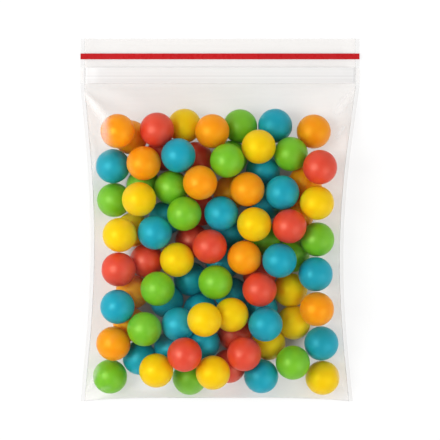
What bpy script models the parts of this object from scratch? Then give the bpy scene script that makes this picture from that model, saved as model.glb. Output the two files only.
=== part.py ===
"""Press-to-close film bag full of soft foam balls, lying on its back panel.

Metres, +Z up. X runs across the bag and Y from the bottom fold to the mouth.
The origin lies on the surface under the bag, below the middle of its outline.
"""
import math

import bmesh
import bpy
import numpy as np
from mathutils import Matrix, Vector

# The pouch
bag_width = 0.152
bag_length = 0.1976
film_thickness = 0.0001
side_weld_width = 0.002
left_waist = 0.0057
right_waist = 0.0071
bottom_lean = 0.0036
corner_drop = 0.0022
mouth_parting = 0.0006
shoulder_below_zip = 0.0020
seam_fullness = 0.6
pillow_fullness = 0.6

# The zip and the red line, measured down from the mouth
line_below_mouth = 0.0081
line_height = 0.0032
line_thickness = 0.0002
zip_below_mouth = 0.0159
zip_tape_height = 0.0086
zip_tape_thickness = 0.0002
zip_groove_depth = 0.0011
zip_rib_width = 0.0004
zip_clearance = 0.00012
zip_end_inset = 0.0012
guide_rib_inset = 0.0012
rib_down_share = 0.55
rib_head_ratio = 1.1
rib_neck_share = 0.5
guide_rib_share = 0.4
flat_gap = 0.00008

# The fill
ball_diameter = 0.0187
ball_gap = 0.0003
ball_pressed_in = 0.0010
fill_below_zip = 0.0122

# Mesh fineness
film_columns = 18
film_rows = 24
ball_rings = 6
settle_steps = 1200
drape_steps = 900
clearing_steps = 60
wall_cells = 4
drape_ease = 0.0001
edge_crowding = 0.35
fold_crowding = 0.45
weld_column_share = 0.006
film_tension = 0.6
facet_divisions = 4

ball_radius = ball_diameter / 2

# The bag that the places below were drawn in. In another bag they spread with it.
drawn_width = 0.152
drawn_length = 0.1976

back, middle, front = 0, 1, 2
ball_segments = {back: 10, middle: 8, front: 12}

# Each line is one piece. Its balls are given as millimetres across from the middle, millimetres up
# from the bottom fold, and layer. A ball after the first is pressed against the one before it.
ball_pieces = {
    "orange": [
        [(-54, 148, front), (-44, 143, back)],
        [(-3.5, 148, front)],
        [(50.5, 146.5, front)],
        [(-40.5, 130, middle)],
        [(49, 121, back), (46, 99.5, back)],
        [(-12.5, 117.5, front)],
        [(3.5, 111.5, back), (17.5, 116, front)],
        [(14, 78.5, front)],
        [(-43, 56.5, middle), (-50.5, 52, back), (-57.5, 32, front)],
        [(54, 51, front)],
    ],
    "red": [
        [(-35.5, 149, front), (-16.5, 126.5, back), (-10, 134, back)],
        [(57, 127.5, front)],
        [(36, 95, front)],
        [(-15.5, 81, back), (-22.5, 102, back)],
        [(-6.5, 84.5, front)],
        [(-40, 77.5, middle), (-58.5, 69, front)],
        [(22, 59.5, front), (19, 71.5, back)],
        [(-18, 26.5, front)],
        [(14, 25, front)],
        [(9.5, 17.5, back), (10.5, 38.5, back)],
    ],
    "yellow": [
        [(-21.5, 151.5, front)],
        [(21, 137.5, front)],
        [(-43.5, 110.5, front)],
        [(53.5, 108.5, front)],
        [(-50.5, 101, back), (-56.5, 91, front)],
        [(20, 96.5, front)],
        [(-24, 77, front)],
        [(38, 59.5, front), (38, 40.5, middle), (25, 29, back)],
        [(-10, 44.5, front), (8, 47.5, middle)],
        [(-35, 19, front)],
        [(-4, 13, front)],
        [(55.5, 13.5, front)],
    ],
    "green": [
        [(11, 151.5, front), (7.5, 140.5, back), (7.5, 128, middle)],
        [(37, 133.5, middle)],
        [(-57, 110, front), (-45.5, 112, back), (-31.5, 118, middle), (-19, 100, middle)],
        [(54, 88.5, front), (34, 84, back), (28.5, 79.5, back)],
        [(-2, 65, front)],
        [(-32.5, 62.5, front)],
        [(-42, 42.5, front)],
        [(38.5, 22, front)],
        [(-57.5, 14.5, front)],
        [(-19.5, 15.5, back)],
    ],
    "blue": [
        [(30, 150, front)],
        [(-58, 129, front)],
        [(-23.5, 134, front)],
        [(27.5, 119.5, back), (26, 107, back), (35.5, 117, middle)],
        [(1.5, 102.5, front), (6.5, 83, back), (8.5, 76, back),
         (11.5, 69, back), (17, 51, back), (24.5, 41.5, front)],
        [(-32, 93.5, middle), (-40.5, 99.5, back)],
        [(31.5, 80.5, middle)],
        [(53.5, 69, front)],
        [(-57.5, 51, front)],
        [(-13, 49, back), (-15.5, 66.5, back), (-38, 51, back)],
        [(-26.5, 43.5, middle), (0.5, 34, middle)],
        [(-33.5, 30.5, back), (-45.5, 28, back)],
        [(52.5, 31, front)],
        [(22, 15.5, front)],
    ],
}

finishes = {
    "orange": ((0.96, 0.29, 0.01), 0.42),
    "red": ((0.75, 0.05, 0.03), 0.42),
    "yellow": ((0.95, 0.62, 0.01), 0.42),
    "green": ((0.15, 0.46, 0.02), 0.42),
    "blue": ((0.01, 0.32, 0.48), 0.42),
    "film": ((0.86, 0.87, 0.88), 0.25),
    "red_line": ((0.80, 0.02, 0.03), 0.35),
}


def clear_scene():
    for item in list(bpy.data.objects):
        bpy.data.objects.remove(item, do_unlink=True)


def finish(name):
    material = bpy.data.materials.get(name)
    if material:
        return material
    colour, roughness = finishes[name]
    material = bpy.data.materials.new(name)
    material.use_nodes = True
    shader = material.node_tree.nodes["Principled BSDF"]
    shader.inputs["Base Color"].default_value = (*colour, 1)
    shader.inputs["Roughness"].default_value = roughness
    shader.inputs["Metallic"].default_value = 0
    return material


def add_object(name, mesh, material_name):
    item = bpy.data.objects.new(name, mesh)
    item.data.materials.append(finish(material_name))
    bpy.context.collection.objects.link(item)
    return item


# Outline of the laid bag

mouth_y = bag_length / 2
fold_y = -bag_length / 2
zip_top_y = mouth_y - zip_below_mouth
zip_bottom_y = zip_top_y - zip_tape_height
shoulder_y = zip_bottom_y - shoulder_below_zip
zip_stack = 2 * zip_tape_thickness + zip_groove_depth + 2 * zip_clearance
header_height = zip_stack + 2 * film_thickness + 2 * flat_gap
seam_height = ball_radius + film_thickness + ball_gap


def shoulder_share(y):
    """0 at the shoulder below the zip, 1 at the bottom fold."""
    return min(1, max(0, (shoulder_y - y) / (shoulder_y - fold_y)))


def left_edge(y):
    return -bag_width / 2 + left_waist * math.sin(math.pi * shoulder_share(y))


def right_edge(y):
    share = shoulder_share(y)
    return bag_width / 2 - right_waist * math.sin(math.pi * share) - bottom_lean * share


def bottom_edge(share):
    """The fold is lowest at its two corners, where no ball holds the film up."""
    return fold_y + corner_drop * (1 - abs(2 * share - 1) ** 4)


def side_seam_height(y):
    share = shoulder_share(y)
    if share == 0:
        return header_height / 2
    low = header_height / 2 * (1 - share) + 2 * film_thickness * share
    return low + (seam_height - low) * math.sin(math.pi * share) ** seam_fullness


def fold_height(share):
    low = 2 * film_thickness
    return low + (seam_height - low) * math.sin(math.pi * share) ** seam_fullness


# The fill: balls pushed into a close heap

ball_reach = ball_radius + film_thickness + ball_gap
lowest_centre = ball_reach
wall_ease = 0.0012
wall_reach = ball_reach + wall_ease
wall_slope = 0.2
layer_rise = {back: 0.0, middle: 0.0115, front: 0.0175}
sideways_freedom = {back: 0.8, middle: 0.4, front: 0.12}
plan_pull = {back: 0.2, middle: 0.25, front: 0.35}
hidden_inset = {back: 0.010, middle: 0.001, front: 0.0}
height_pull = 0.3
push_share = 0.5
fall_step = 0.00003
shaping_share = 0.6
falling_share = 0.85
landing_rounds = 3


def pillow(x, y):
    """How full the bag is at a point: 0 at the seams and the fold, 1 over most of the middle."""
    across = (x - left_edge(y)) / (right_edge(y) - left_edge(y))
    along = (y - fold_y) / (zip_bottom_y - fold_y)
    return max(0, math.sin(math.pi * across) * math.sin(math.pi * along)) ** pillow_fullness


def plan_places():
    """Where each ball is drawn, how freely it may move sideways, and which balls are pressed together."""
    places = []
    insets = []
    freedom = []
    pull = []
    bonds = []
    for pieces in ball_pieces.values():
        for piece in pieces:
            for index, (across, up, layer) in enumerate(piece):
                if index:
                    bonds.append((len(places) - 1, len(places)))
                x = across / 1000 * (bag_width / drawn_width)
                y = fold_y + up / 1000 * (bag_length / drawn_length)
                places.append((x, y, lowest_centre + layer_rise[layer] * pillow(x, y)))
                insets.append(hidden_inset[layer])
                freedom.append(sideways_freedom[layer])
                pull.append(plan_pull[layer])
    return np.array(places), insets, np.array(freedom), np.array(pull)[:, None], bonds


def hold_inside(places, insets):
    """Keeps the balls between the side seams, above the fold and below the zip."""
    np.maximum(places[:, 2], lowest_centre, out=places[:, 2])
    for place, inset in zip(places, insets):
        reach = wall_reach + wall_slope * abs(place[2] - seam_height)
        y = min(zip_bottom_y - fill_below_zip - reach, max(fold_y + corner_drop + reach, place[1]))
        low = left_edge(y) + side_weld_width + reach + inset
        high = right_edge(y) - side_weld_width - reach - inset
        place[0] = min(high, max(low, place[0]))
        place[1] = y


def push_apart(places, freedom, pairs, wanted, only_if_closer):
    """Moves each pair to its wanted spacing. Front balls move mostly up and down."""
    first, second = pairs
    offset = places[second] - places[first]
    distance = np.maximum(np.linalg.norm(offset, axis=1), 1e-9)
    error = wanted - distance
    if only_if_closer:
        close = error > 0
        first, second = first[close], second[close]
        offset, distance, error = offset[close], distance[close], error[close]
    direction = offset / distance[:, None]
    weight_first = np.stack((freedom[first], freedom[first], np.ones(len(first))), axis=1)
    weight_second = np.stack((freedom[second], freedom[second], np.ones(len(second))), axis=1)
    share = error / (direction ** 2 * (weight_first + weight_second)).sum(axis=1) * push_share
    np.add.at(places, first, -direction * weight_first * share[:, None])
    np.add.at(places, second, direction * weight_second * share[:, None])


def settled_places():
    plan, insets, freedom, pull, bonds = plan_places()
    places = plan.copy()
    count = len(places)
    bonded = {tuple(sorted(bond)) for bond in bonds}
    loose = [(a, b) for a in range(count) for b in range(a + 1, count) if (a, b) not in bonded]
    loose_pairs = np.array(loose).T
    bond_pairs = np.array(bonds).T
    for step in range(settle_steps):
        share = step / settle_steps
        easing = max(0, 1 - share / shaping_share)
        places[:, :2] += (plan[:, :2] - places[:, :2]) * pull * easing
        places[:, 2] += (plan[:, 2] - places[:, 2]) * height_pull * easing
        if shaping_share < share < falling_share:
            places[:, 2] -= fall_step
        push_apart(places, freedom, loose_pairs, ball_diameter + ball_gap, True)
        push_apart(places, freedom, bond_pairs, ball_diameter - ball_pressed_in, False)
        hold_inside(places, insets)
    let_fall(places)
    return [Vector(place) for place in places]


def let_fall(places):
    """Drops each piece straight down until it rests on another piece or on the film below."""
    spacing = ball_diameter + ball_gap
    pieces = []
    start = 0
    for colour_pieces in ball_pieces.values():
        for piece in colour_pieces:
            pieces.append(range(start, start + len(piece)))
            start += len(piece)
    for turn in range(landing_rounds):
        for piece in sorted(pieces, key=lambda members: min(places[member][2] for member in members)):
            fall = min(places[member][2] for member in piece) - lowest_centre
            others = np.array([index for index in range(start) if index not in piece])
            for member in piece:
                offset = places[member] - places[others]
                away = np.hypot(offset[:, 0], offset[:, 1])
                under = (away < spacing) & (offset[:, 2] > 0)
                free = offset[under, 2] - np.sqrt(spacing ** 2 - away[under] ** 2)
                fall = min([fall, *free])
            places[list(piece), 2] -= max(0, fall)


# Balls

def ball_mesh(centre, segments, rings, axis, side):
    """A round ball whose pole points along axis, and whose first meridian faces side."""
    pole = axis.normalized()
    across = side - pole * side.dot(pole)
    if across.length < 1e-6:
        across = pole.orthogonal()
    across.normalize()
    third = pole.cross(across)
    turn = Matrix((across, third, pole)).transposed().to_4x4()
    shape = bmesh.new()
    bmesh.ops.create_uvsphere(shape, u_segments=segments, v_segments=rings, radius=ball_radius,
                              matrix=Matrix.Translation(centre) @ turn)
    mesh = bpy.data.meshes.new("ball")
    shape.to_mesh(mesh)
    shape.free()
    return mesh


def join_touching(item, mesh):
    """Joins a pressed ball to the piece with an exact union."""
    cutter = bpy.data.objects.new("pressed_ball", mesh)
    bpy.context.collection.objects.link(cutter)
    union = item.modifiers.new("union", "BOOLEAN")
    union.operation = "UNION"
    union.solver = "EXACT"
    union.object = cutter
    bpy.context.view_layer.update()
    joined = bpy.data.meshes.new_from_object(item.evaluated_get(bpy.context.evaluated_depsgraph_get()))
    item.modifiers.remove(union)
    item.data = joined
    bpy.data.objects.remove(cutter, do_unlink=True)


def resting_direction(centre, places):
    """From a ball towards what it rests on: the back film or the nearest other ball."""
    if centre.z < lowest_centre + ball_gap:
        return Vector((0, 0, -1))
    offsets = [place - centre for place in places if place is not centre]
    return min(offsets, key=lambda offset: offset.length)


def add_balls(places):
    number = 0
    for colour, pieces in ball_pieces.items():
        for index, piece in enumerate(pieces):
            centres = places[number:number + len(piece)]
            number += len(piece)
            item = None
            for turn, centre in enumerate(centres):
                before = centres[turn - 1] - centre if turn else None
                after = centres[turn + 1] - centre if turn + 1 < len(centres) else None
                axis = before or after or resting_direction(centre, places)
                side = after or Vector((1, 0, 0))
                layer = piece[turn][2]
                mesh = ball_mesh(centre, ball_segments[layer], ball_rings, axis, side)
                if item is None:
                    kind = "ball" if len(piece) == 1 else "balls"
                    item = add_object("%s_%s_%d" % (kind, colour, index + 1), mesh, colour)
                else:
                    join_touching(item, mesh)
            item.data.shade_smooth()


# The film pouch

def header_rows():
    """Where the film rows above the shoulder lie, and how high the front panel is there."""
    slope = mouth_parting + 2 * film_thickness
    line_top = mouth_y - line_below_mouth
    rows = [
        (shoulder_y, header_height),
        (zip_bottom_y, header_height),
        (zip_top_y, header_height),
        (line_top - line_height, None),
        (line_top, None),
        (mouth_y, slope),
    ]
    filled = []
    for y, height in rows:
        if height is None:
            share = (y - zip_top_y) / (mouth_y - zip_top_y)
            height = header_height + (slope - header_height) * share
        filled.append((y, height))
    return filled


def column_shares(in_header):
    """How far across each column of film points lies, from weld line to weld line."""
    shares = []
    for index in range(film_columns + 1):
        even = index / film_columns
        crowded = (1 - math.cos(math.pi * even)) / 2
        shares.append(even + (crowded - even) * edge_crowding)
    if in_header:
        shares[1] = weld_column_share
        shares[-2] = 1 - weld_column_share
    return shares


def flat_panels():
    """Front and back panel points before they are draped, row by row from the fold to the mouth."""
    panels = {"front": [], "back": []}
    header = header_rows()
    dome = 2 * seam_height + layer_rise[front] + ball_diameter
    for row in range(film_rows):
        even = row / film_rows
        up = even + (1 - math.cos(math.pi / 2 * even) - even) * fold_crowding
        for name, points in panels.items():
            line = []
            for share in column_shares(False):
                y = bottom_edge(share) * (1 - up) + shoulder_y * up
                seam = (side_seam_height(y) if 0 < row else fold_height(share))
                rise = math.sqrt(max(0, math.sin(math.pi * share) * math.sin(math.pi * up)))
                height = seam + (dome if name == "front" else -seam) * rise
                x = left_edge(y) + side_weld_width
                x += (right_edge(y) - left_edge(y) - 2 * side_weld_width) * share
                line.append([x, y, height])
            points.append(line)
    for y, height in header:
        for name, points in panels.items():
            line = []
            for index, share in enumerate(column_shares(True)):
                x = left_edge(y) + side_weld_width
                x += (right_edge(y) - left_edge(y) - 2 * side_weld_width) * share
                at_weld = index in (0, film_columns)
                level = height if name == "front" else 0
                line.append([x, y, height / 2 if at_weld else level])
            points.append(line)
    return {name: np.array(points) for name, points in panels.items()}


def panel_triangles(rows):
    """Index triples of the panel's facets, split as the film's own faces are."""
    wide = film_columns + 1
    triangles = []
    for row in range(rows - 1):
        for column in range(film_columns):
            a = row * wide + column
            b, c, d = a + 1, a + 1 + wide, a + wide
            if column >= film_columns / 2:
                triangles += [(a, b, d), (b, c, d)]
            else:
                triangles += [(a, b, c), (a, c, d)]
    return np.array(triangles)


def facet_samples(parts):
    """Weights of an even set of points on a triangle."""
    weights = [(i, j, parts - i - j) for i in range(parts + 1) for j in range(parts + 1 - i)]
    return np.array(weights) / parts


def drape(panel, centres, direction):
    """Pulls a panel tight over the balls. Its seams, its fold and its header are held."""
    heights = panel[:, :, 2]
    header = heights[film_rows:].copy()
    triangles = panel_triangles(film_rows + 1)
    weights = facet_samples(facet_divisions)
    least = heights_over_balls(panel, centres, triangles, weights, direction)
    for step in range(drape_steps):
        tension = film_tension * max(0, 1 - step / (drape_steps - clearing_steps))
        around = heights[:-2, 1:-1] + heights[2:, 1:-1] + heights[1:-1, :-2] + heights[1:-1, 2:]
        heights[1:-1, 1:-1] += (around / 4 - heights[1:-1, 1:-1]) * tension
        heights[film_rows:] = header
        stiffen_walls(heights, direction)
        lift_off(heights, least, triangles, weights, direction)
        if direction < 0:
            np.maximum(heights, 0, out=heights)
    return panel


def stiffen_walls(heights, direction):
    """Where the film stands up along the seams and the fold it can't dip between two balls."""
    further = np.maximum if direction > 0 else np.minimum
    for columns in (slice(1, wall_cells), slice(-wall_cells, -1)):
        wall = heights[:film_rows, columns]
        wall[1:-1] = further(wall[1:-1], (wall[:-2] + wall[2:]) / 2)
    wall = heights[1:wall_cells]
    wall[:, 1:-1] = further(wall[:, 1:-1], (wall[:, :-2] + wall[:, 2:]) / 2)


def heights_over_balls(panel, centres, triangles, weights, direction):
    """The height at which a sample point of a facet clears the balls under it."""
    flat = panel.reshape(-1, 3)[:, :2]
    points = np.einsum("sk,tkx->tsx", weights, flat[triangles])
    offset = points[:, :, None, :] - centres[None, None, :, :2]
    away = (offset ** 2).sum(axis=3)
    reach = (ball_reach + drape_ease) ** 2
    cap = np.sqrt(np.maximum(reach - away, 0))
    return np.where(away < reach, direction * centres[None, None, :, 2] + cap, -1.0).max(axis=2)


def lift_off(heights, least, triangles, weights, direction):
    """Moves the panel's free points until no facet cuts a ball."""
    flat = heights.reshape(-1)
    levels = direction * np.einsum("sk,tk->ts", weights, flat[triangles])
    deficit = np.maximum(0, least - levels)
    lift = np.zeros(len(flat))
    for corner in range(3):
        np.maximum.at(lift, triangles[:, corner], (deficit * weights[:, corner]).max(axis=1))
    free = (slice(1, film_rows), slice(1, -1))
    heights[free] += direction * lift.reshape(heights.shape)[free]


def add_film(places):
    centres = np.array(places)
    panels = flat_panels()
    front_panel = drape(panels["front"], centres, 1)
    back_panel = drape(panels["back"], centres, -1)
    shape = bmesh.new()
    rows = len(front_panel)
    last = film_columns
    weld_half = film_thickness

    def vertex(point, lift=0):
        return shape.verts.new((point[0], point[1], point[2] + lift))

    outer = {"front": [], "back": []}
    for name, panel, lift in (("front", front_panel, weld_half), ("back", back_panel, -weld_half)):
        for row in range(rows):
            y = panel[row][0][1]
            line = []
            for column in range(last + 1):
                on_edge = column in (0, last) or row == 0
                line.append(vertex(panel[row][column], lift if on_edge else 0))
            left = panel[row][0].copy()
            left[0] -= side_weld_width
            right = panel[row][last].copy()
            right[0] += side_weld_width
            outer[name].append([vertex(left, lift)] + line + [vertex(right, lift)])

    def patch(a, b, c, d, flip, column=0):
        """Two triangles, split the same way on both skins and mirrored about the middle of the bag."""
        right_half = column >= last / 2
        halves = ((a, b, d), (b, c, d)) if right_half else ((a, b, c), (a, c, d))
        for corners in halves:
            shape.faces.new(tuple(reversed(corners)) if flip else corners)

    for name in ("front", "back"):
        grid = outer[name]
        for row in range(rows - 1):
            for column in range(last + 2):
                patch(grid[row][column], grid[row][column + 1], grid[row + 1][column + 1],
                      grid[row + 1][column], name == "back", column - 1)
    shape.normal_update()
    normals = {name: [[v.normal.copy() for v in line] for line in outer[name]] for name in outer}

    inner = {"front": [], "back": []}
    seam_points = {}
    for name in ("front", "back"):
        for row in range(rows):
            line = []
            for column in range(last + 1):
                on_edge = column in (0, last) or row == 0
                if on_edge:
                    key = (row, column)
                    if key not in seam_points:
                        top = outer["front"][row][column + 1].co
                        low = outer["back"][row][column + 1].co
                        seam_points[key] = shape.verts.new((top + low) / 2)
                    line.append(seam_points[key])
                else:
                    point = outer[name][row][column + 1]
                    line.append(shape.verts.new(point.co - normals[name][row][column + 1] * film_thickness))
            inner[name].append(line)
    for name in ("front", "back"):
        grid = inner[name]
        for row in range(rows - 1):
            for column in range(last):
                patch(grid[row][column], grid[row][column + 1], grid[row + 1][column + 1],
                      grid[row + 1][column], name == "front", column)

    top = rows - 1
    for row in range(top):
        patch(outer["front"][row][0], outer["front"][row + 1][0], outer["back"][row + 1][0],
              outer["back"][row][0], False)
        patch(outer["front"][row][-1], outer["front"][row + 1][-1], outer["back"][row + 1][-1],
              outer["back"][row][-1], True)
    for column in range(last + 2):
        patch(outer["front"][0][column], outer["front"][0][column + 1], outer["back"][0][column + 1],
              outer["back"][0][column], True)
    for name in ("front", "back"):
        for column in range(last):
            patch(outer[name][top][column + 1], outer[name][top][column + 2], inner[name][top][column + 1],
                  inner[name][top][column], name == "back")
    for side, weld, seam, flip in ((0, 1, 0, False), (-1, -2, -1, True)):
        corner = inner["front"][top][seam]
        for a, b in ((outer["front"][top][side], outer["front"][top][weld]),
                     (outer["back"][top][side], outer["front"][top][side]),
                     (outer["back"][top][weld], outer["back"][top][side])):
            shape.faces.new((b, a, corner) if flip else (a, b, corner))

    bmesh.ops.recalc_face_normals(shape, faces=shape.faces)
    mesh = bpy.data.meshes.new("bag_film")
    shape.to_mesh(mesh)
    shape.free()
    item = add_object("bag_film", mesh, "film")
    item.data.shade_smooth()
    return front_panel


# The zip

def extruded_section(name, section, half_width, material_name):
    """Sweeps a closed outline, given as (y, z) points, straight across the bag."""
    shape = bmesh.new()
    ends = []
    for x in (-half_width, half_width):
        ends.append([shape.verts.new((x, y, z)) for y, z in section])
    count = len(section)
    for index in range(count):
        following = (index + 1) % count
        shape.faces.new((ends[0][index], ends[1][index], ends[1][following], ends[0][following]))
    shape.faces.new(ends[0])
    shape.faces.new(list(reversed(ends[1])))
    bmesh.ops.recalc_face_normals(shape, faces=shape.faces)
    mesh = bpy.data.meshes.new(name)
    shape.to_mesh(mesh)
    shape.free()
    return add_object(name, mesh, material_name)


def add_zip():
    """The back tape carries an arrow-headed rib. The front tape carries the two hooks that grip it."""
    half_width = bag_width / 2 - side_weld_width - zip_end_inset
    floor = film_thickness + flat_gap
    roof = header_height - film_thickness - flat_gap
    back_face = floor + zip_tape_thickness
    front_face = roof - zip_tape_thickness
    rib_y = zip_top_y - zip_tape_height * rib_down_share
    half_stem = zip_rib_width / 2
    head = zip_rib_width * rib_head_ratio
    reach = front_face - back_face - zip_clearance
    neck = back_face + reach * rib_neck_share
    tip = back_face + reach
    guide_y = zip_top_y - guide_rib_inset
    low_y = zip_bottom_y
    high_y = zip_top_y
    guide_tip = back_face + reach * guide_rib_share
    rib = [
        (low_y, floor), (high_y, floor), (high_y, back_face),
        (guide_y + half_stem, back_face), (guide_y + half_stem, guide_tip),
        (guide_y - half_stem, guide_tip), (guide_y - half_stem, back_face),
        (rib_y + half_stem, back_face), (rib_y + half_stem, neck), (rib_y + head, neck),
        (rib_y + half_stem, tip - zip_clearance), (rib_y, tip), (rib_y - half_stem, tip - zip_clearance),
        (rib_y - head, neck), (rib_y - half_stem, neck), (rib_y - half_stem, back_face),
        (low_y, back_face),
    ]
    extruded_section("zip_back", rib, half_width, "film")
    hook_inner = head + zip_clearance
    hook_outer = hook_inner + zip_rib_width
    lip = half_stem + zip_clearance
    foot = back_face + zip_clearance
    shelf = neck - zip_clearance
    hooks = [
        (low_y, roof), (low_y, front_face),
        (rib_y - hook_outer, front_face), (rib_y - hook_outer, foot), (rib_y - hook_inner, foot),
        (rib_y - lip, shelf), (rib_y - hook_inner, shelf), (rib_y - hook_inner, front_face),
        (rib_y + hook_inner, front_face), (rib_y + hook_inner, shelf), (rib_y + lip, shelf),
        (rib_y + hook_inner, foot), (rib_y + hook_outer, foot), (rib_y + hook_outer, front_face),
        (high_y, front_face), (high_y, roof),
    ]
    extruded_section("zip_front", hooks, half_width, "film")


def add_red_line(front_panel):
    """A strip on the front lip that follows the film from side to side."""
    low_row = front_panel[-3]
    high_row = front_panel[-2]
    shape = bmesh.new()
    lines = []
    for lift in (flat_gap, flat_gap + line_thickness):
        for row in (low_row, high_row):
            ends = [row[0].copy(), row[-1].copy()]
            ends[0][0] -= side_weld_width
            ends[1][0] += side_weld_width
            level = row[1][2]
            points = [ends[0]] + [row[1], row[-2]] + [ends[1]]
            lines.append([shape.verts.new((p[0], p[1], level + lift)) for p in points])
    low_under, high_under, low_over, high_over = lines
    count = len(low_under)
    for index in range(count - 1):
        shape.faces.new((low_over[index], low_over[index + 1], high_over[index + 1], high_over[index]))
        shape.faces.new((low_under[index], high_under[index], high_under[index + 1], low_under[index + 1]))
        shape.faces.new((low_under[index], low_under[index + 1], low_over[index + 1], low_over[index]))
        shape.faces.new((high_under[index], high_over[index], high_over[index + 1], high_under[index + 1]))
    for index in (0, count - 1):
        shape.faces.new((low_under[index], low_over[index], high_over[index], high_under[index]))
    bmesh.ops.recalc_face_normals(shape, faces=shape.faces)
    mesh = bpy.data.meshes.new("red_line")
    shape.to_mesh(mesh)
    shape.free()
    add_object("red_line", mesh, "red_line")


def main():
    clear_scene()
    places = settled_places()
    add_balls(places)
    front_panel = add_film(places)
    add_zip()
    add_red_line(front_panel)


main()
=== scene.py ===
import math

import bmesh
import bpy
import numpy as np
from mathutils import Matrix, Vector, noise
from mathutils.bvhtree import BVHTree


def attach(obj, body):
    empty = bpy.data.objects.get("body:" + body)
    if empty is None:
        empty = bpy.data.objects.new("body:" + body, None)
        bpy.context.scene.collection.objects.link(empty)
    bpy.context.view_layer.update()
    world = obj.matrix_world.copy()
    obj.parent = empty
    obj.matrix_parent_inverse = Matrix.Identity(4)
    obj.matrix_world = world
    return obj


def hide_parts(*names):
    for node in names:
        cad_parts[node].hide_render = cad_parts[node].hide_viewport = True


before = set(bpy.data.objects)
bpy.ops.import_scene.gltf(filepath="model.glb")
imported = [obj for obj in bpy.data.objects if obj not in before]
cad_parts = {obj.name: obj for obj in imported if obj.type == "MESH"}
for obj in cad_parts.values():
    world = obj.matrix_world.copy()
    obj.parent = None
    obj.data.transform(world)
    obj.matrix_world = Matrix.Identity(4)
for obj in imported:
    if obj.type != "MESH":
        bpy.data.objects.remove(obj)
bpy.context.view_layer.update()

scene = bpy.context.scene
print("packed bag loaded")


# Helpers for materials and meshes

def newMaterial(name):
    material = bpy.data.materials.new(name)
    material.use_nodes = True
    nodes = material.node_tree.nodes
    nodes.clear()
    output = nodes.new("ShaderNodeOutputMaterial")
    return material, nodes, material.node_tree.links, output


def addNode(nodes, kind, **values):
    node = nodes.new(kind)
    for name, value in values.items():
        if name in node.inputs:
            node.inputs[name].default_value = value
        else:
            setattr(node, name, value)
    return node


def noiseField(nodes, links, scale, detail, roughness=0.5, stretch=(1, 1, 1)):
    place = addNode(nodes, "ShaderNodeTexCoord")
    mapping = addNode(nodes, "ShaderNodeMapping")
    mapping.inputs["Scale"].default_value = stretch
    field = addNode(nodes, "ShaderNodeTexNoise", Scale=scale, Detail=detail, Roughness=roughness)
    links.new(place.outputs["Object"], mapping.inputs["Vector"])
    links.new(mapping.outputs["Vector"], field.inputs["Vector"])
    return field.outputs["Fac"]


def spread(nodes, links, socket, low, high, start=0.35, end=0.65):
    ranged = addNode(nodes, "ShaderNodeMapRange")
    ranged.inputs["From Min"].default_value = start
    ranged.inputs["From Max"].default_value = end
    ranged.inputs["To Min"].default_value = low
    ranged.inputs["To Max"].default_value = high
    links.new(socket, ranged.inputs["Value"])
    return ranged.outputs["Result"]


def meshPiece(name, points, faces, material):
    mesh = bpy.data.meshes.new(name)
    mesh.from_pydata([tuple(point) for point in points], [], faces)
    mesh.update()
    piece = bpy.data.objects.new(name, mesh)
    scene.collection.objects.link(piece)
    mesh.materials.append(material)
    mesh.shade_smooth()
    return piece


# Foam balls

foamBalls = {
    "radius": 0.00935,
    "fineness": 4,
    "unevenness": 0.00006,
    "colours": {
        "orange": ((0.96, 0.345, 0.001), (0.92, 0.285, 0.001)),
        "red": ((0.74, 0.058, 0.021), (0.66, 0.042, 0.014)),
        "yellow": ((0.89, 0.605, 0.001), (0.84, 0.540, 0.001)),
        "green": ((0.190, 0.540, 0.010), (0.150, 0.470, 0.007)),
        "blue": ((0.004, 0.370, 0.500), (0.003, 0.320, 0.430)),
    },
    "shineTints": {
        "orange": (1, 0.8, 0.1),
        "red": (1, 0.55, 0.4),
        "yellow": (1, 0.9, 0.05),
        "green": (0.65, 1, 0.3),
        "blue": (0.18, 0.9, 1),
    },
    "roughness": (0.37, 0.46),
    "shine": 1.0,
    "bend": 1.58,
    "scatterShare": 1,
    "scatterDepth": 0.010,
    "scatterTint": (1, 0.8, 0.7),
    # Grain of the colour patches, the specks, the sheen and the skin, in bumps per metre
    "patchGrain": 260,
    "speckGrain": 1400,
    "sheenGrain": 500,
    "skinGrain": 1500,
    "skinDepth": 0.0001,
    "skinStrength": 1,
    "patchShare": 0.6,
    "speckShare": 0.4,
    "speckRange": (0.3, 0.75),
    # Slow swell of the surface: bumps per radius, and how far apart the balls lie in the noise
    "swellGrain": 1.6,
    "swellShift": 40,
    # Finding a ball's middle: how close guesses agree, how near they belong to it, how many it needs
    "sameCentre": 0.0002,
    "ownFacets": 0.0006,
    "fewestFacets": 20,
    # Space on each side of a flat spot where two balls press
    "contactGap": 0.00002,
}


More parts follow.
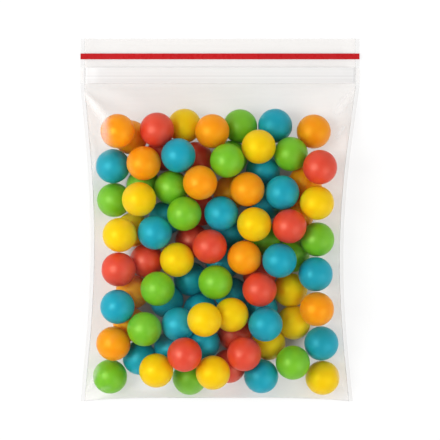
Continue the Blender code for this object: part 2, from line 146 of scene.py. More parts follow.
def foamMaterial(colour):
    light, dark = foamBalls["colours"][colour]
    material, nodes, links, output = newMaterial(colour + "Foam")
    shader = addNode(nodes, "ShaderNodeBsdfPrincipled")
    shader.inputs["Specular IOR Level"].default_value = foamBalls["shine"]
    shader.inputs["IOR"].default_value = foamBalls["bend"]
    shader.inputs["Specular Tint"].default_value = (*foamBalls["shineTints"][colour], 1)
    shader.inputs["Subsurface Weight"].default_value = foamBalls["scatterShare"]
    shader.inputs["Subsurface Scale"].default_value = foamBalls["scatterDepth"]
    shader.inputs["Subsurface Radius"].default_value = foamBalls["scatterTint"]
    patches = spread(nodes, links, noiseField(nodes, links, foamBalls["patchGrain"], 3), 0, 1)
    specks = noiseField(nodes, links, foamBalls["speckGrain"], 2)
    specks = spread(nodes, links, specks, 0, 1, *foamBalls["speckRange"])
    both = addNode(nodes, "ShaderNodeMath", operation="MULTIPLY_ADD")
    links.new(patches, both.inputs[0])
    both.inputs[1].default_value = foamBalls["patchShare"]
    links.new(spread(nodes, links, specks, 0, foamBalls["speckShare"], 0, 1), both.inputs[2])
    tones = addNode(nodes, "ShaderNodeValToRGB")
    tones.color_ramp.elements[0].color = (*dark, 1)
    tones.color_ramp.elements[1].color = (*light, 1)
    links.new(both.outputs[0], tones.inputs["Fac"])
    links.new(tones.outputs["Color"], shader.inputs["Base Color"])
    sheen = noiseField(nodes, links, foamBalls["sheenGrain"], 2)
    links.new(spread(nodes, links, sheen, *foamBalls["roughness"]), shader.inputs["Roughness"])
    bump = addNode(nodes, "ShaderNodeBump")
    bump.inputs["Strength"].default_value = foamBalls["skinStrength"]
    bump.inputs["Distance"].default_value = foamBalls["skinDepth"]
    links.new(noiseField(nodes, links, foamBalls["skinGrain"], 4, 0.6), bump.inputs["Height"])
    links.new(bump.outputs["Normal"], shader.inputs["Normal"])
    links.new(shader.outputs[0], output.inputs["Surface"])
    return material


def ballCentres(node):
    # A facet's corners lie on its ball, so each facet tells where the ball's middle is
    mesh = node.data
    mesh.calc_loop_triangles()
    points = np.array([vertex.co for vertex in mesh.vertices])
    corners = points[np.array([triangle.vertices[:] for triangle in mesh.loop_triangles])]
    first, second, third = corners[:, 0], corners[:, 1], corners[:, 2]
    ab, ac = second - first, third - first
    normal = np.cross(ab, ac)
    size = (normal ** 2).sum(axis=1, keepdims=True)
    solid = size[:, 0] > 1e-20  # leaves out facets without area
    ab, ac, normal, size, first = ab[solid], ac[solid], normal[solid], size[solid], first[solid]
    inFacet = np.cross(normal, ab) * (ac ** 2).sum(axis=1, keepdims=True)
    inFacet = (inFacet + np.cross(ac, normal) * (ab ** 2).sum(axis=1, keepdims=True)) / (2 * size)
    depth = foamBalls["radius"] ** 2 - (inFacet ** 2).sum(axis=1, keepdims=True)
    guesses = first + inFacet - normal / np.sqrt(size) * np.sqrt(np.maximum(depth, 0))
    centres = []
    while len(guesses):
        near = np.linalg.norm(guesses[:, None] - guesses[None], axis=2) < foamBalls["sameCentre"]
        votes = near.sum(axis=1)
        best = votes.argmax()
        if votes[best] < foamBalls["fewestFacets"]:
            break
        centre = guesses[near[best]].mean(axis=0)
        centres.append(centre)
        guesses = guesses[np.linalg.norm(guesses - centre, axis=1) > foamBalls["ownFacets"]]
    return centres


def unitBall(fineness):
    shape = bmesh.new()
    bmesh.ops.create_icosphere(shape, subdivisions=fineness, radius=1)
    points = np.array([vertex.co for vertex in shape.verts])
    faces = [[vertex.index for vertex in face.verts] for face in shape.faces]
    shape.free()
    return points, faces


def foamBallPiece(name, centres, others, material):
    directions, faces = unitBall(foamBalls["fineness"])
    allPoints, allFaces = [], []
    for centre in centres:
        shift = Vector(centre) * foamBalls["swellShift"]
        swell = np.array([noise.noise(Vector(d) * foamBalls["swellGrain"] + shift) for d in directions])
        points = directions * (foamBalls["radius"] - foamBalls["unevenness"] * (1 + swell))[:, None]
        for other in others:
            gap = other - centre
            distance = np.linalg.norm(gap)
            if 1e-6 < distance < 2 * foamBalls["radius"]:
                # Two balls that press on each other share a flat spot halfway
                toward = gap / distance
                reach = points @ toward
                limit = distance / 2 - foamBalls["contactGap"]
                over = np.maximum(0, reach - limit)
                points = points - toward * over[:, None]
        start = sum(len(block) for block in allPoints)
        allPoints.append(points + centre)
        allFaces += [[index + start for index in face] for face in faces]
    return meshPiece(name, np.concatenate(allPoints), allFaces, material)


foamMaterials = {colour: foamMaterial(colour) for colour in foamBalls["colours"]}
centresByNode = {}
for name, node in sorted(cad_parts.items()):
    if name.startswith("ball"):
        centresByNode[name] = ballCentres(node)
allCentres = np.array([centre for centres in centresByNode.values() for centre in centres])
print("foam balls found:", len(allCentres), "in", len(centresByNode), "nodes")

for name, centres in centresByNode.items():
    colour, number = name.split("_")[1:]
    title = colour + ("Ball" if len(centres) == 1 else "Balls") + number
    piece = foamBallPiece(title, centres, allCentres, foamMaterials[colour])
    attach(piece, "root")
    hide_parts(name)
print("foam balls made")


# Film bag

# The zip's values stand before the film, because the welded edges are milkier beside it
zipTrack = {
    "belowMouth": 0.0157,
    "height": 0.0086,
    "halfWidth": 0.0733,
    "frontFace": 0.00170,
    "backFace": 0.00040,
    # Ribs: metres below the mouth, half width and height
    "frontRibs": [(0.0166, 0.00030, 0.00030), (0.0191, 0.00035, 0.00045), (0.0207, 0.00035, 0.00045),
                  (0.0236, 0.00035, 0.00025)],
    "backRibs": [(0.0168, 0.00028, 0.00030), (0.0199, 0.00030, 0.00060), (0.0222, 0.00025, 0.00030)],
    "thickness": 0.0002,
    "tapeMilk": 0.8,
    "flankSlope": 0.2,
    "thinTint": (0.99, 0.988, 0.985),
    "roughness": 0.3,
    "streakGrain": 220,
    "streakRange": (0.985, 1),
    # Tint of the painted light and shade lines of the rails
    "lineTint": (1, 0.99, 0.985),
    # Painted light and shade of the rails: share of the way down the tape, and how pale it is there
    "lines": [(0, 0.92), (0.05, 0.90), (0.25, 0.93), (0.36, 0.90), (0.42, 0.93), (0.49, 0.91), (0.53, 0.85),
              (0.58, 0.86), (0.63, 0.94), (0.68, 0.94), (0.73, 0.86), (0.80, 0.88), (1, 0.89)],
    "columns": 60,
    "endColumns": 9,
    "sectionPoints": 150,
}

bagFilm = {
    "width": 0.152,
    "length": 0.1976,
    "weld": 0.002,
    "leftWaist": 0.0057,
    "rightWaist": 0.0071,
    "bottomLean": 0.0036,
    "cornerDrop": 0.0022,
    "cornerSharpness": 4,
    "shoulder": 0.0724,
    "headerHeight": 0.00210,
    "mouthGap": 0.0008,
    "headerBend": 0.009,
    "seamHeight": 0.00975,
    "fullness": 0.6,
    "columns": 150,
    "bodyRows": 170,
    "headerRows": 44,
    # How much closer the film's points stand near the welds and near the shoulder
    "weldCrowding": 0.45,
    "shoulderCrowding": 0.35,
    "clearance": 0.00012,
    "foldHeight": 0.0002,
    "floorGap": 0.0001,
    "lipEase": 0.35,
    "frontHaze": 0.002,
    "rearHaze": 0.42,
    "weldHaze": 0.08,
    "zipEndHaze": 0.45,
    "weldTones": (0.44, 0.5, 0.6),
    "milk": (0.91, 0.88, 0.855),
    "thinTint": (0.978, 0.975, 0.972),
    "edgeTint": (0.84, 0.835, 0.83),
    "mirrorShare": 0.6,
    "steps": 450,
    # Creases: points as metres across and along, width and height of the ridge, how white it is (partly milky
    # film, partly a painted highlight along the crease)
    "creases": [
        ([(-0.0755, 0.0722), (-0.0716, 0.0663), (-0.0630, 0.0555)], 0.0020, 0.0003, 0.85),
        ([(-0.0711, 0.0465), (-0.0687, 0.0385), (-0.0681, 0.0300), (-0.0708, 0.0205)], 0.0012, 0.0005, 0.30),
        # This third crease is a painted reflection: the key light's glare on the film over the first orange
        # ball, drawn as whiteness with only a slight ridge
        ([(-0.0632, 0.0575), (-0.0622, 0.0500), (-0.0628, 0.0395)], 0.0026, 0.0001, 0.34),
        ([(-0.0742, 0.0640), (-0.0705, 0.0560), (-0.0690, 0.0480)], 0.0009, 0.0005, 0.12),
        ([(0.0738, 0.0718), (0.0690, 0.0650), (0.0641, 0.0587)], 0.0022, 0.0003, 0.75),
        ([(0.0697, 0.0537), (0.0655, 0.0485), (0.0620, 0.0430)], 0.0018, 0.0003, 0.35),
        ([(0.0725, 0.0600), (0.0700, 0.0490), (0.0690, 0.0380)], 0.0008, 0.0005, 0.10),
        ([(-0.0745, -0.0960), (-0.0700, -0.0890), (-0.0665, -0.0800)], 0.0011, 0.0005, 0.30),
        ([(-0.0740, -0.0965), (-0.0660, -0.0925), (-0.0600, -0.0905)], 0.0009, 0.0005, 0.10),
        ([(0.0708, -0.0960), (0.0665, -0.0900), (0.0640, -0.0810)], 0.0011, 0.0005, 0.30),
    ],
    # The part of a half wave that a crease's height follows: how much of it, and where it starts
    "creaseFade": (0.7, 0.12),
    # A crease's width at its first point, as a share, which grows by 1 to its last
    "creaseStart": 0.4,
    # Fine ripples down the sides: height, then the fine and the slow wave in radians per metre, and
    # how far the slow one sways the fine one
    "sideRipple": 0.0003,
    "rippleWaves": (260, 95, 2.2),
    "rippleInset": 0.0045,
    "rippleWidth": 0.0022,
    "rippleRise": 0.3,
    # The milky line beside each weld
    "weldLineHaze": 0.05,
    "weldLineInset": 0.0024,
    "weldLineWidth": 0.0008,
    "weldSlope": 0.06,
    "headerTone": 0.1,
    "glossRoughness": 0.16,
    "glossBend": 1.11,
    "milkRoughness": 0.45,
    "cloudGrain": 160,
    "cloudStretch": (0.08, 1, 0.3),
    "cloudRange": (0.94, 1.06),
    "waveStretch": (1, 0.35, 1),
    "waveStrength": 0.25,
    "waveDepth": 0.0002,
}

foldY = -bagFilm["length"] / 2
mouthY = bagFilm["length"] / 2


def downShare(y):
    return np.clip((bagFilm["shoulder"] - y) / (bagFilm["shoulder"] - foldY), 0, 1)


def leftEdge(y):
    return -bagFilm["width"] / 2 + bagFilm["leftWaist"] * np.sin(np.pi * downShare(y))


def rightEdge(y):
    share = downShare(y)
    drawnIn = bagFilm["rightWaist"] * np.sin(np.pi * share) + bagFilm["bottomLean"] * share
    return bagFilm["width"] / 2 - drawnIn


def seamHeight(y):
    share = downShare(y)
    low = bagFilm["headerHeight"] / 2 * (1 - share) + bagFilm["foldHeight"] * share
    return low + (bagFilm["seamHeight"] - low) * np.sin(np.pi * share).clip(0) ** bagFilm["fullness"]


def filmGrid():
    # Where the film points lie in plan, row by row from the fold to the mouth
    even = np.linspace(0, 1, bagFilm["columns"] + 1)
    across = even + ((1 - np.cos(np.pi * even)) / 2 - even) * bagFilm["weldCrowding"]
    upper = np.linspace(0, 1, bagFilm["bodyRows"] + 1)
    up = upper + (1 - np.cos(np.pi / 2 * upper) - upper) * bagFilm["shoulderCrowding"]
    fold = foldY + bagFilm["cornerDrop"] * (1 - np.abs(2 * across - 1) ** bagFilm["cornerSharpness"])
    body = fold[None] * (1 - up[:, None]) + bagFilm["shoulder"] * up[:, None]
    header = np.linspace(bagFilm["shoulder"], mouthY, bagFilm["headerRows"] + 1)[1:, None]
    y = np.concatenate([body, np.repeat(header, len(across), axis=1)])
    weld = bagFilm["weld"]
    left, right = leftEdge(y) + weld, rightEdge(y) - weld
    x = left + (right - left) * across[None]
    return x, y, across, up


def capHeights(x, y, direction):
    # Height of the balls' upper sides at each film point, or of their lower sides with the sign turned
    reach = foamBalls["radius"] + bagFilm["clearance"]
    best = np.full(x.shape, -1.0)
    for centre in allCentres:
        away = (x - centre[0]) ** 2 + (y - centre[1]) ** 2
        inside = away < reach ** 2
        best[inside] = np.maximum(best[inside], direction * centre[2] + np.sqrt(reach ** 2 - away[inside]))
    return best


def distanceToLine(x, y, points):
    best = np.full(x.shape, 1.0)
    along = np.zeros(x.shape)
    lengths = [math.dist(a, b) for a, b in zip(points, points[1:])]
    start = 0
    for (a, b), length in zip(zip(points, points[1:]), lengths):
        dx, dy = (b[0] - a[0]) / length, (b[1] - a[1]) / length
        t = np.clip((x - a[0]) * dx + (y - a[1]) * dy, 0, length)
        away = np.hypot(x - a[0] - dx * t, y - a[1] - dy * t)
        closer = away < best
        best = np.where(closer, away, best)
        along = np.where(closer, (start + t) / sum(lengths), along)
        start += length
    return best, along


def solidFilmTop(x, y):
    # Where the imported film's upper side stands over each point, or -1 beside it
    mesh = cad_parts["bag_film"].data
    solid = BVHTree.FromPolygons([vertex.co[:] for vertex in mesh.vertices],
                                 [face.vertices[:] for face in mesh.polygons])
    down = Vector((0, 0, -1))
    castHeight = 0.2  # well above the bag
    tops = np.full(x.shape, -1.0)
    for place in np.ndindex(x.shape):
        hit = solid.ray_cast(Vector((x[place], y[place], castHeight)), down)[0]
        if hit:
            tops[place] = hit.z
    return tops


def pinched(inside):
    # Share of its full height that the header has, so far inside the welded edge
    share = np.clip(inside / bagFilm["headerBend"], 0, 1)
    return share ** 2 * (3 - 2 * share)


def drapedPanel(x, y, across, up, direction):
    rows = bagFilm["bodyRows"]
    seam = seamHeight(y)
    heights = np.empty(x.shape)
    foldHeight, floorGap = bagFilm["foldHeight"], bagFilm["floorGap"]
    foldBulge = np.sin(np.pi * across).clip(0) ** bagFilm["fullness"]
    foldRise = foldHeight + (bagFilm["seamHeight"] - foldHeight) * foldBulge
    bulge = np.sqrt(np.sin(np.pi * across)[None].clip(0) * np.sin(np.pi * up)[:, None].clip(0))
    ease = (np.arange(bagFilm["headerRows"]) + 1) / bagFilm["headerRows"]
    if direction > 0:
        drop = (bagFilm["mouthGap"] - bagFilm["headerHeight"]) * ease.clip(bagFilm["lipEase"], 1)
        level = bagFilm["headerHeight"] + drop
        heights[:rows + 1] = np.maximum(seam[:rows + 1] * (1 - bulge), solidFilmTop(x, y)[:rows + 1])
        heights[rows] = bagFilm["headerHeight"]
        heights[rows + 1:] = level[:, None]
        floor = capHeights(x, y, 1)
    else:
        heights[:rows + 1] = seam[:rows + 1] * (1 - bulge)
        heights[rows:] = floorGap
        floor = capHeights(x, y, -1)
    heights[0] = foldRise
    full = pinched(np.minimum(across, 1 - across)[None] * bagFilm["width"])
    heights[rows:] = seam[rows:] * (1 - full) + heights[rows:] * full
    heights[:, 0], heights[:, -1] = seam[:, 0], seam[:, -1]
    heights[0, 0], heights[0, -1] = foldHeight, foldHeight
    for step in range(bagFilm["steps"]):
        body = heights[:rows + 1]
        around = (body[:-2, 1:-1] + body[2:, 1:-1] + body[1:-1, :-2] + body[1:-1, 2:]) / 4
        body[1:-1, 1:-1] = around
        if direction > 0:
            np.maximum(body[1:-1, 1:-1], floor[1:rows, 1:-1], out=body[1:-1, 1:-1])
        else:
            np.minimum(body[1:-1, 1:-1], -floor[1:rows, 1:-1], out=body[1:-1, 1:-1])
            np.maximum(body, floorGap, out=body)
    return heights


def bagFilmMaterial():
    material, nodes, links, output = newMaterial("clearFilm")
    clear = addNode(nodes, "ShaderNodeBsdfTransparent")
    milk = addNode(nodes, "ShaderNodeBsdfPrincipled", Roughness=bagFilm["milkRoughness"])
    milk.inputs["Base Color"].default_value = (*bagFilm["milk"], 1)
    tone = addNode(nodes, "ShaderNodeAttribute", attribute_name="tone")
    tints = addNode(nodes, "ShaderNodeValToRGB")
    tints.color_ramp.elements[0].color = (*bagFilm["thinTint"], 1)
    tints.color_ramp.elements[1].color = (*bagFilm["edgeTint"], 1)
    links.new(tone.outputs["Fac"], tints.inputs["Fac"])
    links.new(tints.outputs["Color"], clear.inputs["Color"])
    gloss = addNode(nodes, "ShaderNodeBsdfAnisotropic", Roughness=bagFilm["glossRoughness"])
    gloss.inputs["Color"].default_value = (1, 1, 1, 1)
    # This attribute holds the film's milkiness together with the painted highlights along the creases
    haze = addNode(nodes, "ShaderNodeAttribute", attribute_name="haze")
    clouds = noiseField(nodes, links, bagFilm["cloudGrain"], 3, 0.5, bagFilm["cloudStretch"])
    cloudy = spread(nodes, links, clouds, *bagFilm["cloudRange"])
    hazeAndHighlightShare = addNode(nodes, "ShaderNodeMath", operation="MULTIPLY")
    links.new(haze.outputs["Fac"], hazeAndHighlightShare.inputs[0])
    links.new(cloudy, hazeAndHighlightShare.inputs[1])
    hazy = addNode(nodes, "ShaderNodeMixShader")
    links.new(hazeAndHighlightShare.outputs[0], hazy.inputs["Fac"])
    links.new(clear.outputs[0], hazy.inputs[1])
    links.new(milk.outputs[0], hazy.inputs[2])
    bump = addNode(nodes, "ShaderNodeBump")
    bump.inputs["Strength"].default_value = bagFilm["waveStrength"]
    bump.inputs["Distance"].default_value = bagFilm["waveDepth"]
    waves = noiseField(nodes, links, bagFilm["cloudGrain"], 3, 0.5, bagFilm["waveStretch"])
    links.new(waves, bump.inputs["Height"])
    links.new(bump.outputs["Normal"], gloss.inputs["Normal"])
    mirror = addNode(nodes, "ShaderNodeFresnel", IOR=bagFilm["glossBend"])
    weaker = addNode(nodes, "ShaderNodeMath", operation="MULTIPLY")
    links.new(mirror.outputs[0], weaker.inputs[0])
    weaker.inputs[1].default_value = bagFilm["mirrorShare"]
    glossy = addNode(nodes, "ShaderNodeMixShader")
    links.new(weaker.outputs[0], glossy.inputs["Fac"])
    links.new(hazy.outputs[0], glossy.inputs[1])
    links.new(gloss.outputs[0], glossy.inputs[2])
    links.new(glossy.outputs[0], output.inputs["Surface"])
    return material


def makeBagFilm():
    x, y, across, up = filmGrid()
    front = drapedPanel(x, y, across, up, 1)
    rear = drapedPanel(x, y, across, up, -1)
    haze = np.full(x.shape, bagFilm["frontHaze"])
    side = np.minimum(x - leftEdge(y), rightEdge(y) - x)
    fine, slow, sway = bagFilm["rippleWaves"]
    nearSide = np.exp(-((side - bagFilm["rippleInset"]) / bagFilm["rippleWidth"]) ** 2)
    ripple = np.sin(y * fine + np.sin(y * slow) * sway) * nearSide
    ripple *= downShare(y) ** bagFilm["rippleRise"]
    front[1:-1, 1:-1] += (ripple * bagFilm["sideRipple"])[1:-1, 1:-1]
    stretch, lead = bagFilm["creaseFade"]
    for points, width, height, whitenessAndHighlight in bagFilm["creases"]:
        away, along = distanceToLine(x, y, points)
        fade = np.sin(np.pi * np.clip(along * stretch + lead, 0, 1))
        ridge = np.exp(-(away / (width * (bagFilm["creaseStart"] + along))) ** 2) * fade
        front[1:-1, 1:-1] += (ridge * height)[1:-1, 1:-1]
        # Crease whiteness: partly milky film, partly a painted highlight
        haze += ridge * whitenessAndHighlight
    nearWeld = np.exp(-((side - bagFilm["weldLineInset"]) / bagFilm["weldLineWidth"]) ** 2)
    haze += bagFilm["weldLineHaze"] * nearWeld
    rowCount, columnCount = x.shape
    points, hazeAndHighlightValues, tones = [], [], []
    index = {"front": np.zeros(x.shape, int), "rear": np.zeros(x.shape, int)}
    for row in range(rowCount):
        for column in range(columnCount):
            index["front"][row, column] = len(points)
            points.append((x[row, column], y[row, column], front[row, column]))
            hazeAndHighlightValues.append(haze[row, column])
            tones.append(bagFilm["headerTone"] if row > bagFilm["bodyRows"] else 0.0)
    for row in range(rowCount):
        for column in range(columnCount):
            if row == 0 or column in (0, columnCount - 1):
                index["rear"][row, column] = index["front"][row, column]
                continue
            index["rear"][row, column] = len(points)
            points.append((x[row, column], y[row, column], rear[row, column]))
            hazeAndHighlightValues.append(bagFilm["rearHaze"])
            tones.append(0.0)
    faces = []
    square = ((0, 0), (0, 1), (1, 1), (1, 0))
    for name, grid in index.items():
        for row in range(rowCount - 1):
            for column in range(columnCount - 1):
                corners = [int(grid[row + down, column + right]) for down, right in square]
                faces.append(corners if name == "front" else corners[::-1])
    stripCount = len(bagFilm["weldTones"])
    for column, sign in ((0, -1), (columnCount - 1, 1)):
        strips = []
        for part in range(1, stripCount + 1):
            line = []
            for row in range(rowCount):
                line.append(len(points))
                height = front[row, column] * (1 - bagFilm["weldSlope"] * part)
                outward = sign * bagFilm["weld"] * part / stripCount
                points.append((x[row, column] + outward, y[row, column], height))
                below = mouthY - y[row, column]
                onZip = zipTrack["belowMouth"] < below < zipTrack["belowMouth"] + zipTrack["height"]
                hazeAndHighlightValues.append(bagFilm["zipEndHaze"] if onZip else bagFilm["weldHaze"])
                tones.append(bagFilm["weldTones"][part - 1])
            strips.append(line)
        before = [int(c) for c in index["front"][:, column]]
        for line in strips:
            for row in range(rowCount - 1):
                corners = [before[row], line[row], line[row + 1], before[row + 1]]
                faces.append(corners if sign > 0 else corners[::-1])
            before = line
    piece = meshPiece("bagFilmPouch", points, faces, bagFilmMaterial())
    for title, values in (("haze", hazeAndHighlightValues), ("tone", tones)):
        attribute = piece.data.attributes.new(title, "FLOAT", "POINT")
        attribute.data.foreach_set("value", np.array(values, np.float32))
    return piece


bagFilmPouch = makeBagFilm()
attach(bagFilmPouch, "root")
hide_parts("bag_film")
print("film bag made")


# Zip halves

def zipMaterial():
    material, nodes, links, output = newMaterial("zipPlastic")
    clear = addNode(nodes, "ShaderNodeBsdfTransparent", Color=(*zipTrack["thinTint"], 1))
    body = addNode(nodes, "ShaderNodeBsdfPrincipled", Roughness=zipTrack["roughness"])
    # Painted light and shade of the rails: paler and darker lines that run across the bag, set by height
    # along the tape
    place = addNode(nodes, "ShaderNodeTexCoord")
    parts = addNode(nodes, "ShaderNodeSeparateXYZ")
    links.new(place.outputs["Object"], parts.inputs[0])
    top = mouthY - zipTrack["belowMouth"]
    down = spread(nodes, links, parts.outputs["Y"], 0, 1, top, top - zipTrack["height"])
    lines = addNode(nodes, "ShaderNodeValToRGB")
    stops = lines.color_ramp.elements
    while len(stops) < len(zipTrack["lines"]):
        stops.new(0.5)
    for stop, (share, tone) in zip(stops, zipTrack["lines"]):
        stop.position = share
        stop.color = (*(tone * part for part in zipTrack["lineTint"]), 1)
    links.new(down, lines.inputs["Fac"])
    streaks = noiseField(nodes, links, zipTrack["streakGrain"], 2, 0.5, (0.15, 1, 1))
    streaks = spread(nodes, links, streaks, *zipTrack["streakRange"])
    uneven = addNode(nodes, "ShaderNodeMix", data_type="RGBA", blend_type="MULTIPLY")
    uneven.inputs[0].default_value = 1
    links.new(lines.outputs["Color"], uneven.inputs[6])
    links.new(streaks, uneven.inputs[7])
    links.new(uneven.outputs[2], body.inputs["Base Color"])
    # The steep flanks of the rails are milkier than the flat tape
    lie = addNode(nodes, "ShaderNodeNewGeometry")
    slope = addNode(nodes, "ShaderNodeSeparateXYZ")
    links.new(lie.outputs["Normal"], slope.inputs[0])
    level = addNode(nodes, "ShaderNodeMath", operation="ABSOLUTE")
    links.new(slope.outputs["Z"], level.inputs[0])
    share = spread(nodes, links, level.outputs[0], 1, zipTrack["tapeMilk"], zipTrack["flankSlope"], 1)
    mixed = addNode(nodes, "ShaderNodeMixShader")
    links.new(share, mixed.inputs["Fac"])
    links.new(clear.outputs[0], mixed.inputs[1])
    links.new(body.outputs[0], mixed.inputs[2])
    links.new(mixed.outputs[0], output.inputs["Surface"])
    return material


def zipHalf(name, ribs, face, direction, material):
    # A tape swept across the bag, with rounded ribs on its inner side
    top = mouthY - zipTrack["belowMouth"]
    bottom = top - zipTrack["height"]
    ys = np.linspace(bottom, top, zipTrack["sectionPoints"])
    ribbed = np.full(ys.shape, face)
    for below, half, height in ribs:
        away = (ys - (mouthY - below)) / half
        ribbed = ribbed - direction * height * np.sqrt(np.clip(1 - away ** 2, 0, 1))
    outer = face + direction * zipTrack["thickness"]
    # The two extra corners keep the outer side flat under smooth shading
    corner = (top - bottom) / zipTrack["sectionPoints"]
    section = [(y, z) for y, z in zip(ys, ribbed)]
    section += [(top, outer), (top - corner, outer), (bottom + corner, outer), (bottom, outer)]
    # The side welds crush the ends of the zip, together with the film
    ends = zipTrack["halfWidth"] - np.linspace(0, bagFilm["headerBend"], zipTrack["endColumns"])
    middle = np.linspace(-ends[-1], ends[-1], zipTrack["columns"] + 1)[1:-1]
    xs = np.concatenate([-ends, middle, ends[::-1]])
    heart = bagFilm["headerHeight"] / 2
    points, faces = [], []
    count = len(section)
    for x in xs:
        full = float(pinched(bagFilm["width"] / 2 - bagFilm["weld"] - abs(x)))
        points += [(x, y, heart + (z - heart) * full) for y, z in section]
    for column in range(len(xs) - 1):
        for item in range(count):
            following = (item + 1) % count
            a, b = column * count + item, column * count + following
            faces.append([a, b, b + count, a + count] if direction < 0 else [a + count, b + count, b, a])
    cap = list(range(count))
    faces.append(cap[::-1] if direction < 0 else cap)
    faces.append([index + (len(xs) - 1) * count for index in (cap if direction < 0 else cap[::-1])])
    piece = meshPiece(name, points, faces, material)
    shape = bmesh.new()
    shape.from_mesh(piece.data)
    bmesh.ops.recalc_face_normals(shape, faces=shape.faces)
    shape.to_mesh(piece.data)
    shape.free()
    return piece


zipPlastic = zipMaterial()
for name, node, ribs, face, direction in (
        ("zipFrontHalf", "zip_front", zipTrack["frontRibs"], zipTrack["frontFace"], 1),
        ("zipBackHalf", "zip_back", zipTrack["backRibs"], zipTrack["backFace"], -1)):
    piece = zipHalf(name, ribs, face, direction, zipPlastic)
    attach(piece, "root")
    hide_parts(node)
print("zip made")


# Red line

redLine = {
    "light": (0.52, 0.010, 0.013),
    "dark": (0.46, 0.008, 0.011),
    "shine": 0.2,
    "roughness": (0.24, 0.36),
    "streakGrain": 120,
    "sheenGrain": 400,
}


def redLineMaterial():
    material, nodes, links, output = newMaterial("redLinePlastic")
    shader = addNode(nodes, "ShaderNodeBsdfPrincipled")
    shader.inputs["Specular IOR Level"].default_value = redLine["shine"]
    tones = addNode(nodes, "ShaderNodeValToRGB")
    tones.color_ramp.elements[0].color = (*redLine["dark"], 1)
    tones.color_ramp.elements[1].color = (*redLine["light"], 1)
    streaks = noiseField(nodes, links, redLine["streakGrain"], 3, 0.5, (0.2, 1, 1))
    links.new(spread(nodes, links, streaks, 0, 1), tones.inputs["Fac"])
    links.new(tones.outputs["Color"], shader.inputs["Base Color"])
    sheen = noiseField(nodes, links, redLine["sheenGrain"], 2)
    links.new(spread(nodes, links, sheen, *redLine["roughness"]), shader.inputs["Roughness"])
    links.new(shader.outputs[0], output.inputs["Surface"])
    return material


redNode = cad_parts["red_line"]
redNode.data.materials.clear()
redNode.data.materials.append(redLineMaterial())
print("red line finished")


# Floor, light and camera

stageSet = {
    "floorSize": 6,
    "floorLevel": -0.0002,
    "floorShade": 0.22,
    "bounceShade": 0.8,
    "floorGlow": 0.78,
    # Painted shadow under the heap, where the floor glows less: middle, half width and half length of that
    # patch
    "heapMiddle": (0.0, -0.017),
    "heapHalf": (0.053, 0.062),
    "heapGlow": 0.05,
    "heapSteepness": 6,
    "heapFade": (0.4, 1),
    "overheadLight": 0.44,
    "aroundLight": 1.0,
    "keyPower": 8.8,
    "keySize": 0.62,
    "keyFrom": (-0.74, 0.03, 0.98),
    "fillPower": 4.6,
    "fillSize": 0.9,
    "fillFrom": (0.9, -0.5, 0.9),
    "viewWidth": 0.2398,
    "cameraHeight": 2.5,
}


def seenOrReflected(nodes, links):
    path = addNode(nodes, "ShaderNodeLightPath")
    first = addNode(nodes, "ShaderNodeMath", operation="MAXIMUM")
    second = addNode(nodes, "ShaderNodeMath", operation="MAXIMUM")
    links.new(path.outputs["Is Camera Ray"], first.inputs[0])
    links.new(path.outputs["Is Glossy Ray"], first.inputs[1])
    links.new(first.outputs[0], second.inputs[0])
    links.new(path.outputs["Is Transmission Ray"], second.inputs[1])
    return second.outputs[0]


def floorGlowWithPaintedShadow(nodes, links):
    # Painted shadow: less of the floor's glow inside a rounded patch under the balls
    place = addNode(nodes, "ShaderNodeTexCoord")
    parts = addNode(nodes, "ShaderNodeSeparateXYZ")
    links.new(place.outputs["Object"], parts.inputs[0])
    powers = []
    for axis, middle, half in zip("XY", stageSet["heapMiddle"], stageSet["heapHalf"]):
        share = addNode(nodes, "ShaderNodeMath", operation="MULTIPLY_ADD")
        links.new(parts.outputs[axis], share.inputs[0])
        share.inputs[1].default_value = 1 / half
        share.inputs[2].default_value = -middle / half
        distance = addNode(nodes, "ShaderNodeMath", operation="ABSOLUTE")
        links.new(share.outputs[0], distance.inputs[0])
        steep = addNode(nodes, "ShaderNodeMath", operation="POWER")
        links.new(distance.outputs[0], steep.inputs[0])
        steep.inputs[1].default_value = stageSet["heapSteepness"]
        powers.append(steep.outputs[0])
    both = addNode(nodes, "ShaderNodeMath", operation="ADD")
    links.new(powers[0], both.inputs[0])
    links.new(powers[1], both.inputs[1])
    dark, bright = stageSet["heapGlow"], stageSet["floorGlow"]
    return spread(nodes, links, both.outputs[0], dark, bright, *stageSet["heapFade"])


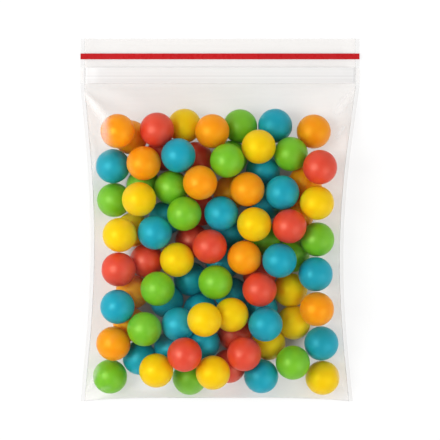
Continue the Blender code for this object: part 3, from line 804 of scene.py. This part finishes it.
def makeFloor():
    half = stageSet["floorSize"] / 2
    level = stageSet["floorLevel"]
    corners = [(-half, -half, level), (half, -half, level), (half, half, level), (-half, half, level)]
    material, nodes, links, output = newMaterial("whiteFloor")
    bounce, shade = stageSet["bounceShade"], stageSet["floorShade"]
    plain = addNode(nodes, "ShaderNodeBsdfDiffuse", Color=(bounce, bounce, bounce, 1))
    shown = addNode(nodes, "ShaderNodeBsdfDiffuse", Color=(shade, shade, shade, 1))
    glow = addNode(nodes, "ShaderNodeEmission")
    # The glow's strength carries the painted shadow under the heap
    links.new(floorGlowWithPaintedShadow(nodes, links), glow.inputs["Strength"])
    both = addNode(nodes, "ShaderNodeAddShader")
    links.new(shown.outputs[0], both.inputs[0])
    links.new(glow.outputs[0], both.inputs[1])
    mixed = addNode(nodes, "ShaderNodeMixShader")
    links.new(seenOrReflected(nodes, links), mixed.inputs["Fac"])
    links.new(plain.outputs[0], mixed.inputs[1])
    links.new(both.outputs[0], mixed.inputs[2])
    links.new(mixed.outputs[0], output.inputs["Surface"])
    floor = meshPiece("whiteFloor", corners, [[0, 1, 2, 3]], material)


def makeWorld():
    # Pale all round and softer overhead, as in a light tent with an opening for the camera
    world = bpy.data.worlds.new("paleStudio")
    scene.world = world
    world.use_nodes = True
    nodes, links = world.node_tree.nodes, world.node_tree.links
    nodes.clear()
    output = addNode(nodes, "ShaderNodeOutputWorld")
    tent = addNode(nodes, "ShaderNodeBackground")
    tent.inputs["Color"].default_value = (1, 1, 1, 1)
    place = addNode(nodes, "ShaderNodeTexCoord")
    parts = addNode(nodes, "ShaderNodeSeparateXYZ")
    links.new(place.outputs["Generated"], parts.inputs[0])
    level = spread(nodes, links, parts.outputs["Z"], stageSet["aroundLight"], stageSet["overheadLight"], 0, 1)
    links.new(level, tent.inputs["Strength"])
    links.new(tent.outputs[0], output.inputs["Surface"])


def addLamp(name, place, power, size):
    lamp = bpy.data.lights.new(name, "AREA")
    lamp.energy = power
    lamp.shape = "SQUARE"
    lamp.size = size
    item = bpy.data.objects.new(name, lamp)
    scene.collection.objects.link(item)
    item.location = place
    item.rotation_euler = (-Vector(place)).to_track_quat("-Z", "Y").to_euler()


def addCamera():
    camera = bpy.data.cameras.new("topCamera")
    camera.sensor_width = 36
    camera.lens = camera.sensor_width * stageSet["cameraHeight"] / stageSet["viewWidth"]
    item = bpy.data.objects.new("topCamera", camera)
    scene.collection.objects.link(item)
    item.location = (0, 0, stageSet["cameraHeight"])
    scene.camera = item


makeFloor()
makeWorld()
addLamp("keyLight", stageSet["keyFrom"], stageSet["keyPower"], stageSet["keySize"])
addLamp("fillLight", stageSet["fillFrom"], stageSet["fillPower"], stageSet["fillSize"])
addCamera()
scene.view_settings.view_transform = "Standard"
print("studio ready")
